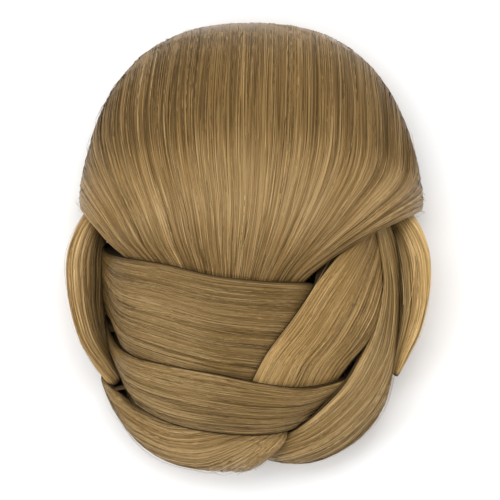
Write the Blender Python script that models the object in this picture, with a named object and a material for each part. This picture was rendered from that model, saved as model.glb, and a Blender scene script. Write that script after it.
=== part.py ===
"""Top knot hairpiece: a hollow padded chignon of long straight hair, wrapped over a plain net cap.

The piece lies on its cap's hem, as on a table. X runs to the right and Y up as its front is seen,
and Z points out of the wearer's head. Sizes here are in millimetres, and the meshes are in metres.
"""

import math
from collections import namedtuple

import bmesh
import bpy
import numpy as np
from mathutils import Vector
from mathutils.bvhtree import BVHTree

MM = 0.001

# The hair's outer form is a superellipsoid, a little squarer towards its crown end than below:
# its widest outline, its front and its undercut.
HALF_WIDTH = 60.5
HALF_HEIGHT = 80.0
FRONT_DEPTH = 46.0
UNDER_DEPTH = 21.0
WIDEST_LEVEL = 14.0
PLAN_POWER = 2.4
CROWN_POWER = 2.5
FOLD_DEGREES = 180.0
MOST_FOLD_DEGREES = 37.0

# How the locks lie on that form and on each other
LEAST_CLEAR = 2.8
EDGE_DROP = 1.9
EDGE_THICKNESS = 1.2
LEAST_THICKNESS = 0.6
MOST_THICKNESS = 24.0
THICK_FROM = 0.5
THICKNESS_POWER = 0.6
GAP = 0.4
LOOK_OUT = 30.0
# A crossing counts from where the lock on top lies this far below the other one's own sheet
CROSSES_FROM = -3.5
CROSSES_FULLY = -1.5

# The cap that the hair is sewn to, as depths below the hair's outer form
CAP_OUTER = -17.0
CAP_WALL = 2.0
HEM_WIDTH = 6.0
HEM_HEIGHT = 4.0
CAP_SEGMENTS = 40
CAP_TILTS = 8

# The comb inside the cap's upper end
COMB_HALF_WIDTH = 21.0
COMB_SPINE = 5.0
COMB_TOOTH_LENGTH = 20.0
COMB_TEETH = 9
COMB_TOOTH_WIDTH = 2.2
COMB_TIP_WIDTH = 1.0
COMB_THICKNESS = 2.0
COMB_LEVEL = 1.2

LOOP_SIDES = 14
LOOP_STEPS = 24
SHARP_DEGREES = 50.0
HAIR_ROUGHNESS = 0.45

# A row is a section across a lock, from its left edge over its middle to its right edge.
# Each point is (x, y, lift): its place as seen from the front, and its height on the outer form.
Section = namedtuple("Section", "left middle right")
# A lock's rolls are the shares of its half width over which its edges roll down.
Lock = namedtuple("Lock", "name sections steps_along steps_across left_roll right_roll colour")

CROWN = [
    Section((-57.5, 67.0, 0.0), (2.5, 95.5, 0.0), (66.0, 51.0, 1.0)),
    Section((-65.0, 54.0, -0.5), (2.0, 79.0, 0.0), (70.0, 41.0, 1.5)),
    Section((-71.0, 33.0, -0.5), (1.0, 54.5, 0.0), (72.0, 29.0, 2.2)),
    Section((-66.0, 21.0, 0.5), (0.5, 34.0, 0.0), (71.0, 17.5, 3.0)),
    Section((-57.0, 10.5, 2.0), (0.0, 14.5, 0.5), (54.5, 9.8, 3.5)),
    Section((-50.0, 2.5, -0.5), (-1.5, 0.5, 0.0), (38.0, 2.0, 1.0)),
    Section((-45.0, -3.0, -1.5), (-2.5, -8.5, -2.0), (23.0, -8.5, -1.6)),
    Section((-38.0, -8.5, -5.0), (-3.5, -17.5, -6.0), (16.5, -15.5, -7.5)),
]
UPPER_WRAP = [
    Section((-52.0, 3.0, -9.8), (-52.3, -10.5, -9.4), (-51.8, -25.5, -6.8)),
    Section((-50.3, -2.0, -4.5), (-50.3, -12.5, -3.5), (-48.3, -28.0, -5.0)),
    Section((-43.0, -3.8, -0.5), (-44.5, -20.0, 0.5), (-42.8, -36.5, -2.5)),
    Section((-29.0, -6.0, 1.0), (-31.0, -24.0, 2.5), (-31.0, -42.0, -1.0)),
    Section((-11.5, -10.0, 1.2), (-13.0, -29.0, 2.8), (-15.0, -46.0, -1.0)),
    Section((7.0, -12.0, 0.3), (3.0, -31.0, 1.0), (-3.0, -48.7, -3.8)),
    Section((20.5, -12.5, -3.0), (15.0, -32.0, -3.5), (3.5, -50.0, -6.0)),
    Section((26.0, -13.5, -7.0), (20.5, -33.5, -7.5), (8.5, -51.5, -8.0)),
]
DIAGONAL_WRAP = [
    Section((43.5, 11.0, -6.0), (47.0, 11.5, -6.0), (51.5, 11.0, -9.0)),
    Section((38.5, 5.0, -4.5), (46.0, 2.5, -4.5), (52.0, 0.5, -7.5)),
    Section((31.0, -3.5, -2.0), (41.0, -7.5, -0.5), (52.5, -12.0, -7.0)),
    Section((24.2, -12.0, 1.5), (34.5, -18.5, 2.5), (50.0, -22.5, -4.0)),
    Section((15.8, -24.5, 2.0), (27.0, -30.5, 3.0), (43.5, -32.5, -1.5)),
    Section((6.8, -36.5, 2.0), (19.0, -40.5, 2.0), (36.0, -40.5, -2.5)),
    Section((1.5, -46.0, -0.5), (15.0, -49.5, -3.0), (30.5, -48.0, -5.5)),
    Section((-2.0, -52.5, -6.0), (12.0, -55.5, -7.0), (24.5, -53.5, -9.0)),
]
LOWER_WRAP = [
    Section((-51.6, -21.0, -8.2), (-50.0, -34.5, -7.0), (-45.0, -44.0, -7.0)),
    Section((-47.6, -33.0, -5.8), (-46.4, -41.0, -3.0), (-42.8, -49.0, -4.5)),
    Section((-40.0, -38.3, 0.0), (-41.3, -47.3, 0.8), (-38.5, -56.0, -2.0)),
    Section((-27.0, -41.2, 1.8), (-29.5, -52.0, 2.5), (-27.5, -61.8, -1.0)),
    Section((-11.5, -44.0, 2.2), (-13.5, -55.2, 3.0), (-12.5, -65.0, -1.0)),
    Section((4.0, -47.3, 1.5), (3.0, -57.2, 2.5), (2.5, -66.0, -1.0)),
    Section((20.0, -49.3, 1.0), (17.0, -57.0, 1.5), (14.0, -64.5, -1.5)),
    Section((33.0, -46.8, -2.0), (28.0, -53.5, -2.5), (20.0, -61.8, -5.0)),
    Section((39.0, -43.0, -6.5), (33.5, -52.0, -7.0), (24.0, -60.5, -8.5)),
]
BOTTOM_WRAP = [
    Section((-52.2, -45.3, -1.5), (-56.0, -48.5, 0.0), (-61.0, -52.0, 0.5)),
    Section((-49.8, -48.3, -1.0), (-54.2, -54.5, 0.8), (-62.5, -61.5, 1.5)),
    Section((-45.3, -51.8, -2.0), (-49.0, -60.8, 1.2), (-58.0, -71.5, 1.8)),
    Section((-39.0, -56.0, -5.5), (-41.2, -67.3, 1.6), (-50.5, -81.5, 1.8)),
    Section((-30.0, -59.5, -5.5), (-29.7, -72.8, 1.6), (-38.0, -89.5, 0.8)),
    Section((-19.0, -61.5, -6.0), (-17.0, -75.0, 1.0), (-19.0, -95.0, -2.2)),
    Section((-8.0, -61.5, -6.0), (-5.5, -73.0, 1.0), (-3.5, -84.5, -1.4)),
    Section((2.0, -61.0, -6.5), (4.0, -69.0, 0.2), (7.0, -74.5, 0.9)),
    Section((9.0, -60.0, -7.5), (10.5, -64.8, -4.0), (13.0, -68.3, -1.3)),
    Section((12.0, -57.5, -10.0), (13.0, -60.0, -10.0), (14.2, -62.5, -9.0)),
]
OUTER_WRAP = [
    Section((43.5, 10.0, -6.5), (47.0, 10.0, -7.0), (50.0, 9.5, -9.5)),
    Section((45.5, 2.0, -6.0), (50.0, 1.0, -6.6), (54.5, -0.5, -8.3)),
    Section((47.5, -13.0, -4.5), (52.5, -14.5, -5.7), (58.0, -16.0, -7.0)),
    Section((44.5, -28.0, -1.5), (52.0, -31.0, -4.0), (60.0, -35.0, -5.7)),
    Section((40.0, -37.5, 0.5), (49.5, -43.5, -1.4), (61.5, -52.0, -2.8)),
    Section((33.5, -48.5, 1.8), (42.5, -56.0, 1.7), (57.0, -69.0, -1.0)),
    Section((22.8, -59.5, 1.3), (30.0, -67.5, 1.5), (44.0, -84.5, -0.3)),
    Section((14.0, -66.0, -5.4), (17.0, -74.0, -1.2), (24.0, -93.0, -0.5)),
    Section((4.0, -70.5, -6.5), (3.5, -77.0, -5.0), (4.0, -94.5, -2.5)),
]

BLONDE = (0.36, 0.24, 0.115, 1.0)
WARM_BLONDE = (0.40, 0.265, 0.125, 1.0)
ASH_BLONDE = (0.33, 0.225, 0.115, 1.0)
NET_BROWN = (0.035, 0.022, 0.014, 1.0)
COMB_BROWN = (0.05, 0.03, 0.02, 1.0)

LOCKS = [
    Lock("crown_sweep", CROWN, 24, 24, 0.13, 0.13, WARM_BLONDE),
    Lock("upper_wrap", UPPER_WRAP, 20, 12, 0.25, 0.35, BLONDE),
    Lock("diagonal_wrap", DIAGONAL_WRAP, 18, 10, 0.3, 0.3, BLONDE),
    Lock("lower_wrap", LOWER_WRAP, 22, 10, 0.3, 0.4, ASH_BLONDE),
    Lock("bottom_wrap", BOTTOM_WRAP, 24, 12, 0.3, 0.25, ASH_BLONDE),
    Lock("outer_wrap", OUTER_WRAP, 20, 12, 0.2, 0.3, BLONDE),
]

# Which lock crosses over which, and how far below it the other one is kept
Crossing = namedtuple("Crossing", "over under step")
CROSSINGS = [
    Crossing("upper_wrap", "crown_sweep", 2.1),
    Crossing("crown_sweep", "diagonal_wrap", 2.0),
    Crossing("crown_sweep", "outer_wrap", 2.0),
    Crossing("diagonal_wrap", "upper_wrap", 2.0),
    Crossing("lower_wrap", "upper_wrap", 1.6),
    Crossing("lower_wrap", "diagonal_wrap", 1.6),
    Crossing("outer_wrap", "diagonal_wrap", 1.3),
    Crossing("outer_wrap", "lower_wrap", 2.3),
    Crossing("lower_wrap", "bottom_wrap", 2.1),
    Crossing("bottom_wrap", "outer_wrap", 2.4),
]

# A side loop's stations: its middle, the half axes of its oval, and how many degrees the oval leans
Station = namedtuple("Station", "x y z half_width half_depth lean")
LEFT_LOOP = [
    Station(-47.3, 18.0, 16.5, 3.4, 5.5, 0.0),
    Station(-54.4, 8.5, 18.0, 4.2, 9.5, 14.0),
    Station(-57.2, -2.0, 18.5, 4.8, 12.5, 21.0),
    Station(-57.5, -12.0, 18.5, 4.6, 13.0, 22.0),
    Station(-56.8, -22.5, 18.5, 3.7, 12.5, 20.0),
    Station(-54.7, -32.5, 18.0, 3.2, 10.5, 18.0),
    Station(-51.3, -41.0, 17.0, 3.0, 6.0, 14.0),
    Station(-47.0, -48.3, 15.0, 2.1, 3.2, 8.0),
]
RIGHT_LOOP = [
    Station(49.5, 17.0, 16.5, 3.2, 5.0, 0.0),
    Station(55.5, 8.0, 18.0, 4.1, 9.0, -12.0),
    Station(58.2, -1.5, 18.5, 4.3, 12.0, -18.0),
    Station(59.0, -11.0, 18.5, 4.0, 12.5, -18.0),
    Station(58.5, -20.5, 18.5, 3.2, 12.0, -17.0),
    Station(57.0, -29.5, 18.5, 2.9, 10.0, -15.0),
    Station(54.7, -38.0, 18.0, 2.1, 6.5, -10.0),
    Station(52.5, -45.5, 17.0, 0.9, 3.0, -5.0),
]


def spline(rows, places):
    """Points at places, from 0 to 1, on a smooth curve through evenly spaced rows."""
    rows = np.array(rows, float)
    last = len(rows) - 1
    padded = np.vstack([2 * rows[0] - rows[1], rows, 2 * rows[-1] - rows[-2]])
    first = np.minimum((places * last).astype(int), last - 1)
    share = (places * last - first)[:, None]
    before, start, end, after = (padded[first + k] for k in range(4))
    return 0.5 * (
        2 * start
        + (end - before) * share
        + (2 * before - 5 * start + 4 * end - after) * share**2
        + (3 * start - before - 3 * end + after) * share**3
    )


def on_form(x, y, lift):
    """The point of the outer form seen at (x, y), raised by lift, and the way that lift raises it.

    A point outside the widest outline is folded round it, to the underside, clear of the cap.
    """
    lift = np.maximum(lift, CAP_OUTER + LEAST_CLEAR)
    across = x / (HALF_WIDTH + lift)
    up = y / (HALF_HEIGHT + lift)
    power = np.where(up > 0, CROWN_POWER, PLAN_POWER)
    radius = (np.abs(across) ** power + np.abs(up) ** power) ** (1 / power)
    radius = np.maximum(radius, 1e-9)
    folded = np.clip((radius - 1) * FOLD_DEGREES, 0, MOST_FOLD_DEGREES) * math.pi / 180
    tilt = np.arcsin(np.minimum(radius, 1)) + folded
    least_reach = (HALF_HEIGHT + CAP_OUTER + LEAST_CLEAR) / (HALF_HEIGHT + lift)
    reach = np.where(folded > 0, np.maximum(np.sin(tilt), least_reach), np.sin(tilt)) / radius
    front = np.cos(tilt)
    height = np.where(front > 0, (FRONT_DEPTH + lift) * front, UNDER_DEPTH * front)
    outwards = np.stack([across * reach, up * reach, np.maximum(front, 0)], axis=-1)
    point = np.stack([x * reach, y * reach, WIDEST_LEVEL + height], axis=-1)
    return point, outwards


def from_edge(shares):
    """How far each place across a lock is from its nearer edge, from 0 to 1 at the middle."""
    return 2 * np.minimum(shares, 1 - shares)


def lock_sheet(lock):
    """The lock's outer sheet: its points, and the way out at each."""
    along = np.linspace(0, 1, lock.steps_along + 1)
    across = 0.5 - 0.5 * np.cos(np.linspace(0, math.pi, lock.steps_across + 1))
    rows = spline([[*s.left, *s.middle, *s.right] for s in lock.sections], along)
    left, middle, right = rows[:, None, 0:3], rows[:, None, 3:6], rows[:, None, 6:9]
    v = across[None, :, None]
    points = left * (1 - v) * (1 - 2 * v) + middle * 4 * v * (1 - v) + right * v * (2 * v - 1)
    shares = np.where(across < 0.5, lock.left_roll, lock.right_roll)
    roll = np.maximum(1 - from_edge(across) / shares, 0) ** 2
    lift = points[..., 2] - EDGE_DROP * roll[None, :]
    return on_form(points[..., 0], points[..., 1], lift)


def grid_faces(rows, columns):
    """The quads of a grid of points that is numbered row by row."""
    return [
        (i * columns + j, i * columns + j + 1, (i + 1) * columns + j + 1, (i + 1) * columns + j)
        for i in range(rows - 1)
        for j in range(columns - 1)
    ]


def tree_of(points, faces):
    return BVHTree.FromPolygons([Vector(p) for p in points.reshape(-1, 3)], faces)


def sheet_tree(points):
    return tree_of(points, grid_faces(*points.shape[:2]))


def drop_to(tree, point, outwards, start):
    """How far tree lies below the point that is start above point, or None where it is missed."""
    reach = np.linalg.norm(outwards)
    ray = Vector(-outwards / reach)
    distance = tree.ray_cast(Vector(point + outwards * start), ray, 2 * LOOK_OUT * reach)[3]
    return None if distance is None else distance / reach


def spread(values, pick):
    """Each value of a grid, made pick (a maximum, minimum or mean) of it and its neighbours."""
    padded = np.pad(values, 1, mode="edge")
    rows, columns = values.shape
    near = [padded[i : i + rows, j : j + columns] for i in range(3) for j in range(3)]
    return pick(np.stack(near), axis=0)


def press_under(points, outwards, tree, step):
    """Presses a sheet down where tree crosses over it, with a soft dip round the crossing.

    Where tree lies deep below the sheet it is the sheet that is on top, and it is left as it is.
    """
    push = np.zeros(points.shape[:2])
    for place in np.ndindex(push.shape):
        drop = drop_to(tree, points[place], outwards[place], LOOK_OUT)
        if drop is not None:
            over = LOOK_OUT - drop
            share = (over - CROSSES_FROM) / (CROSSES_FULLY - CROSSES_FROM)
            push[place] = max(0, step - over) * min(max(share, 0), 1)
    soft = spread(spread(spread(push, np.max), np.max), np.mean)
    return points - np.maximum(push, soft)[..., None] * outwards


def sheets_in_layers():
    """Every lock's outer sheet, each pressed under the locks that cross over it."""
    sheets = {lock.name: lock_sheet(lock) for lock in LOCKS}
    trees = {name: sheet_tree(points) for name, (points, _) in sheets.items()}
    for crossing in CROSSINGS:
        points, outwards = sheets[crossing.under]
        pressed = press_under(points, outwards, trees[crossing.over], crossing.step)
        sheets[crossing.under] = (pressed, outwards)
    return sheets


def halved(grid):
    """A grid of points with one more between each two, along and across."""
    along = np.empty((2 * grid.shape[0] - 1, *grid.shape[1:]))
    along[::2] = grid
    along[1::2] = (grid[1:] + grid[:-1]) / 2
    both = np.empty((along.shape[0], 2 * grid.shape[1] - 1, grid.shape[2]))
    both[:, ::2] = along
    both[:, 1::2] = (along[:, 1:] + along[:, :-1]) / 2
    return both


def depths_above(points, outwards, others, across):
    """How thick the lock can be at each point before it meets what lies under it."""
    fine_points, fine_outwards = halved(points), halved(outwards)
    room = np.full(fine_points.shape[:2], 2 * LOOK_OUT)
    for place in np.ndindex(room.shape):
        for tree in others:
            drop = drop_to(tree, fine_points[place], fine_outwards[place], 0)
            if drop is not None:
                room[place] = min(room[place], drop)
    room = spread(spread(room, np.min), np.min)[::2, ::2] - GAP
    rise = np.minimum(from_edge(across) / THICK_FROM, 1) ** THICKNESS_POWER
    wanted = EDGE_THICKNESS + (MOST_THICKNESS - EDGE_THICKNESS) * rise
    return np.maximum(np.minimum(room, wanted[None, :]), LEAST_THICKNESS)


def sheet_solid(points, inner):
    """Vertices and faces of the closed solid between a sheet and its inner copy."""
    rows, columns = points.shape[:2]
    count = rows * columns
    outer_faces = [face[::-1] for face in grid_faces(rows, columns)]
    inner_faces = [tuple(count + k for k in face) for face in grid_faces(rows, columns)]
    rim = list(range(columns))
    rim += [i * columns + columns - 1 for i in range(1, rows)]
    rim += [(rows - 1) * columns + j for j in range(columns - 2, -1, -1)]
    rim += [i * columns for i in range(rows - 2, 0, -1)]
    walls = [
        (rim[k], rim[(k + 1) % len(rim)], count + rim[(k + 1) % len(rim)], count + rim[k])
        for k in range(len(rim))
    ]
    vertices = np.concatenate([points.reshape(-1, 3), inner.reshape(-1, 3)])
    return vertices, outer_faces + inner_faces + walls


def rings_solid(rings, first=None, last=None):
    """Vertices and faces of a solid through rings of points, ended in caps or single points."""
    count = len(rings[0])
    vertices = [point for ring in rings for point in ring]
    faces = [
        (r * count + k, r * count + (k + 1) % count, (r + 1) * count + (k + 1) % count, (r + 1) * count + k)
        for r in range(len(rings) - 1)
        for k in range(count)
    ]
    end = (len(rings) - 1) * count
    if first is None:
        faces.append(tuple(reversed(range(count))))
        faces.append(tuple(range(end, end + count)))
    else:
        faces += [(len(vertices), (k + 1) % count, k) for k in range(count)]
        faces += [(len(vertices) + 1, end + k, end + (k + 1) % count) for k in range(count)]
        vertices += [first, last]
    return np.array(vertices, float), faces


def loop_solid(stations):
    """A side loop: an oval bundle swept through its stations."""
    rows = spline([list(s) for s in stations], np.linspace(0, 1, LOOP_STEPS))
    centres = rows[:, :3]
    ways = np.gradient(centres, axis=0)
    ways /= np.linalg.norm(ways, axis=1)[:, None]
    rings = []
    for centre, way, (half_width, half_depth, lean) in zip(centres, ways, rows[:, 3:]):
        side = np.cross(way, (0, 0, 1))
        side /= np.linalg.norm(side)
        front = np.cross(side, way)
        turn = math.radians(lean)
        wide = half_width * (side * math.cos(turn) - front * math.sin(turn))
        deep = half_depth * (front * math.cos(turn) + side * math.sin(turn))
        turns = [2 * math.pi * k / LOOP_SIDES for k in range(LOOP_SIDES)]
        rings.append([centre + wide * math.cos(t) + deep * math.sin(t) for t in turns])
    return rings_solid(rings)


def cap_ring(depth, tilt=None, level=0.0):
    """A ring of the cap: at a tilt on its dome, or at a level of its upright wall."""
    turns = np.linspace(0, 2 * math.pi, CAP_SEGMENTS, endpoint=False)
    power = 2 / PLAN_POWER
    across = np.sign(np.cos(turns)) * np.abs(np.cos(turns)) ** power
    up = np.sign(np.sin(turns)) * np.abs(np.sin(turns)) ** power
    reach = 1 if tilt is None else math.sin(tilt)
    height = level if tilt is None else WIDEST_LEVEL + (FRONT_DEPTH + depth) * math.cos(tilt)
    x = (HALF_WIDTH + depth) * across * reach
    y = (HALF_HEIGHT + depth) * up * reach
    return np.stack([x, y, np.full_like(x, height)], axis=-1)


def cap_solid():
    """The hollow cap, from the top of its inside, round its hem, to the top of its outside."""
    inner, hem = CAP_OUTER - CAP_WALL, CAP_OUTER - HEM_WIDTH
    tilts = [math.pi / 2 * k / CAP_TILTS for k in range(1, CAP_TILTS + 1)]
    rings = [cap_ring(inner, tilt) for tilt in tilts]
    rings += [cap_ring(inner, level=HEM_HEIGHT), cap_ring(hem, level=HEM_HEIGHT), cap_ring(hem)]
    rings += [cap_ring(CAP_OUTER), cap_ring(CAP_OUTER, level=HEM_HEIGHT)]
    rings += [cap_ring(CAP_OUTER, tilt) for tilt in reversed(tilts)]
    inner_top = (0, 0, WIDEST_LEVEL + FRONT_DEPTH + inner)
    outer_top = (0, 0, WIDEST_LEVEL + FRONT_DEPTH + CAP_OUTER)
    return rings_solid(rings, inner_top, outer_top)


def hem_reach(x):
    """How far up the hem's inner wall lies at x."""
    hem = CAP_OUTER - HEM_WIDTH
    share = (abs(x) / (HALF_WIDTH + hem)) ** PLAN_POWER
    return (HALF_HEIGHT + hem) * (1 - share) ** (1 / PLAN_POWER)


def comb_outline():
    """The comb seen from below: a spine that follows the hem, and tapered teeth."""
    pitch = 2 * COMB_HALF_WIDTH / COMB_TEETH
    middles = [-COMB_HALF_WIDTH + pitch * (k + 0.5) for k in range(COMB_TEETH)]
    ends = [-COMB_HALF_WIDTH, *[x + pitch / 2 for x in middles]]
    outline = [(x, hem_reach(x) - GAP) for x in ends]
    root = hem_reach(COMB_HALF_WIDTH) - GAP - COMB_SPINE
    for x in reversed(middles):
        outline += [
            (x + COMB_TOOTH_WIDTH / 2, root),
            (x + COMB_TIP_WIDTH / 2, root - COMB_TOOTH_LENGTH),
            (x - COMB_TIP_WIDTH / 2, root - COMB_TOOTH_LENGTH),
            (x - COMB_TOOTH_WIDTH / 2, root),
        ]
    corners = [(COMB_HALF_WIDTH, root), *outline[len(ends) :], (-COMB_HALF_WIDTH, root)]
    return outline[: len(ends)] + corners


def material(name, colour, roughness):
    made = bpy.data.materials.new(name)
    made.use_nodes = True
    shader = made.node_tree.nodes["Principled BSDF"]
    shader.inputs["Base Color"].default_value = colour
    shader.inputs["Roughness"].default_value = roughness
    shader.inputs["Metallic"].default_value = 0.0
    made.diffuse_color = colour
    return made


def add_object(name, vertices, faces, surface, smooth=True):
    """One named object from points in millimetres."""
    mesh = bpy.data.meshes.new(name)
    mesh.from_pydata([tuple(p) for p in np.asarray(vertices) * MM], [], faces)
    mesh.validate()
    shape = bmesh.new()
    shape.from_mesh(mesh)
    bmesh.ops.recalc_face_normals(shape, faces=shape.faces)
    shape.to_mesh(mesh)
    shape.free()
    if smooth:
        mesh.shade_smooth()
        mesh.set_sharp_from_angle(angle=math.radians(SHARP_DEGREES))
    mesh.materials.append(surface)
    made = bpy.data.objects.new(name, mesh)
    bpy.context.scene.collection.objects.link(made)
    return made


def add_comb(surface):
    """The comb, cut from a sheet by its outline and thickened upwards."""
    shape = bmesh.new()
    corners = [shape.verts.new((x * MM, y * MM, COMB_LEVEL * MM)) for x, y in comb_outline()]
    face = shape.faces.new(corners)
    raised = bmesh.ops.extrude_face_region(shape, geom=[face])["geom"]
    moved = [v for v in raised if isinstance(v, bmesh.types.BMVert)]
    bmesh.ops.translate(shape, verts=moved, vec=(0, 0, COMB_THICKNESS * MM))
    bmesh.ops.recalc_face_normals(shape, faces=shape.faces)
    mesh = bpy.data.meshes.new("comb")
    shape.to_mesh(mesh)
    shape.free()
    mesh.materials.append(surface)
    bpy.context.scene.collection.objects.link(bpy.data.objects.new("comb", mesh))


def add_locks(under):
    """Every lock as a solid, from its outer sheet down to what lies under it."""
    sheets = sheets_in_layers()
    trees = {name: sheet_tree(points) for name, (points, _) in sheets.items()}
    for lock in LOCKS:
        points, outwards = sheets[lock.name]
        others = [tree for name, tree in trees.items() if name != lock.name] + under
        across = 0.5 - 0.5 * np.cos(np.linspace(0, math.pi, lock.steps_across + 1))
        depth = depths_above(points, outwards, others, across)
        inner = points - depth[..., None] * outwards
        vertices, faces = sheet_solid(points, inner)
        add_object(lock.name, vertices, faces, material(lock.name, lock.colour, HAIR_ROUGHNESS))


def main():
    for old in list(bpy.data.objects):
        bpy.data.objects.remove(old)
    cap = cap_solid()
    loops = {"left_loop": loop_solid(LEFT_LOOP), "right_loop": loop_solid(RIGHT_LOOP)}
    add_object("base_cap", *cap, material("net_cap", NET_BROWN, 0.9))
    for name, solid in loops.items():
        add_object(name, *solid, material(name, BLONDE, HAIR_ROUGHNESS))
    add_locks([tree_of(vertices, faces) for vertices, faces in [cap, *loops.values()]])
    add_comb(material("comb", COMB_BROWN, 0.35))


main()
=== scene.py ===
"""Looks of the top knot hairpiece: its locks with their strands, its net cap and its comb.

The camera looks straight down at the piece, which lies on its hem on a pale floor.
Sizes here are in millimetres until a mesh is made, as in the solids.
"""

import math
from collections import namedtuple

import bpy
import numpy as np
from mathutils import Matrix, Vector
from mathutils.bvhtree import BVHTree


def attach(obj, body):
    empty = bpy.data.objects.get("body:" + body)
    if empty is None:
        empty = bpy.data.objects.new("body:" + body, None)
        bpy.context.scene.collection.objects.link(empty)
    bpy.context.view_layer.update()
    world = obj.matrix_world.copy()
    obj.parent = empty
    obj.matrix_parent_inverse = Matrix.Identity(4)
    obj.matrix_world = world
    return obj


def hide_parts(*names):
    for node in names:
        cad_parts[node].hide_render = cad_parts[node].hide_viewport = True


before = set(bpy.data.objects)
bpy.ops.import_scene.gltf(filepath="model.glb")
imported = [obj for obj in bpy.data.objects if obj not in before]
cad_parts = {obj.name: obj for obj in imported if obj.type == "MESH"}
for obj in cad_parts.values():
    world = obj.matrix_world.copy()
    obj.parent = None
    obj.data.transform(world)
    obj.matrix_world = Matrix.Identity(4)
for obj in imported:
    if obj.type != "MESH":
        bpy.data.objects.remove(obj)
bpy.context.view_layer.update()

MM = 0.001

# The hair's outer form is a superellipsoid, a little squarer towards its crown end than below:
# its widest outline, its front and its undercut.
HALF_WIDTH = 60.5
HALF_HEIGHT = 80.0
FRONT_DEPTH = 46.0
UNDER_DEPTH = 21.0
WIDEST_LEVEL = 14.0
PLAN_POWER = 2.4
CROWN_POWER = 2.5
FOLD_DEGREES = 180.0
MOST_FOLD_DEGREES = 37.0

# How the locks lie on that form and on each other
LEAST_CLEAR = 2.8
EDGE_DROP = 1.9
EDGE_THICKNESS = 1.2
LEAST_THICKNESS = 0.6
MOST_THICKNESS = 24.0
THICK_FROM = 0.5
THICKNESS_POWER = 0.6
GAP = 0.4
LOOK_OUT = 30.0
# A crossing counts from where the lock on top lies this far below the other one's own sheet
CROSSES_FROM = -3.5
CROSSES_FULLY = -1.5

# The cap that the hair is sewn to, as a depth below the hair's outer form
CAP_OUTER = -17.0
HEM_HEIGHT = 4.0
CAP_SEGMENTS = 40
CAP_TILTS = 8

# A row is a section across a lock, from its left edge over its middle to its right edge.
# Each point is (x, y, lift): its place as seen from the front, and its height on the outer form.
Section = namedtuple("Section", "left middle right")
Lock = namedtuple("Lock", "name sections steps_along steps_across left_roll right_roll")

CROWN = [
    Section((-57.5, 67.0, 0.0), (2.5, 95.5, 0.0), (66.0, 51.0, 1.0)),
    Section((-65.0, 54.0, -0.5), (2.0, 79.0, 0.0), (70.0, 41.0, 1.5)),
    Section((-71.0, 33.0, -0.5), (1.0, 54.5, 0.0), (72.0, 29.0, 2.2)),
    Section((-66.0, 21.0, 0.5), (0.5, 34.0, 0.0), (71.0, 17.5, 3.0)),
    Section((-57.0, 10.5, 2.0), (0.0, 14.5, 0.5), (54.5, 9.8, 3.5)),
    Section((-50.0, 2.5, -0.5), (-1.5, 0.5, 0.0), (38.0, 2.0, 1.0)),
    Section((-45.0, -3.0, -1.5), (-2.5, -8.5, -2.0), (23.0, -8.5, -1.6)),
    Section((-38.0, -8.5, -5.0), (-3.5, -17.5, -6.0), (16.5, -15.5, -7.5)),
]
UPPER_WRAP = [
    Section((-52.0, 3.0, -9.8), (-52.3, -10.5, -9.4), (-51.8, -25.5, -6.8)),
    Section((-50.3, -2.0, -4.5), (-50.3, -12.5, -3.5), (-48.3, -28.0, -5.0)),
    Section((-43.0, -3.8, -0.5), (-44.5, -20.0, 0.5), (-42.8, -36.5, -2.5)),
    Section((-29.0, -6.0, 1.0), (-31.0, -24.0, 2.5), (-31.0, -42.0, -1.0)),
    Section((-11.5, -10.0, 1.2), (-13.0, -29.0, 2.8), (-15.0, -46.0, -1.0)),
    Section((7.0, -12.0, 0.3), (3.0, -31.0, 1.0), (-3.0, -48.7, -3.8)),
    Section((20.5, -12.5, -3.0), (15.0, -32.0, -3.5), (3.5, -50.0, -6.0)),
    Section((26.0, -13.5, -7.0), (20.5, -33.5, -7.5), (8.5, -51.5, -8.0)),
]
DIAGONAL_WRAP = [
    Section((43.5, 11.0, -6.0), (47.0, 11.5, -6.0), (51.5, 11.0, -9.0)),
    Section((38.5, 5.0, -4.5), (46.0, 2.5, -4.5), (52.0, 0.5, -7.5)),
    Section((31.0, -3.5, -2.0), (41.0, -7.5, -0.5), (52.5, -12.0, -7.0)),
    Section((24.2, -12.0, 1.5), (34.5, -18.5, 2.5), (50.0, -22.5, -4.0)),
    Section((15.8, -24.5, 2.0), (27.0, -30.5, 3.0), (43.5, -32.5, -1.5)),
    Section((6.8, -36.5, 2.0), (19.0, -40.5, 2.0), (36.0, -40.5, -2.5)),
    Section((1.5, -46.0, -0.5), (15.0, -49.5, -3.0), (30.5, -48.0, -5.5)),
    Section((-2.0, -52.5, -6.0), (12.0, -55.5, -7.0), (24.5, -53.5, -9.0)),
]
LOWER_WRAP = [
    Section((-51.6, -21.0, -8.2), (-50.0, -34.5, -7.0), (-45.0, -44.0, -7.0)),
    Section((-47.6, -33.0, -5.8), (-46.4, -41.0, -3.0), (-42.8, -49.0, -4.5)),
    Section((-40.0, -38.3, 0.0), (-41.3, -47.3, 0.8), (-38.5, -56.0, -2.0)),
    Section((-27.0, -41.2, 1.8), (-29.5, -52.0, 2.5), (-27.5, -61.8, -1.0)),
    Section((-11.5, -44.0, 2.2), (-13.5, -55.2, 3.0), (-12.5, -65.0, -1.0)),
    Section((4.0, -47.3, 1.5), (3.0, -57.2, 2.5), (2.5, -66.0, -1.0)),
    Section((20.0, -49.3, 1.0), (17.0, -57.0, 1.5), (14.0, -64.5, -1.5)),
    Section((33.0, -46.8, -2.0), (28.0, -53.5, -2.5), (20.0, -61.8, -5.0)),
    Section((39.0, -43.0, -6.5), (33.5, -52.0, -7.0), (24.0, -60.5, -8.5)),
]
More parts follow.
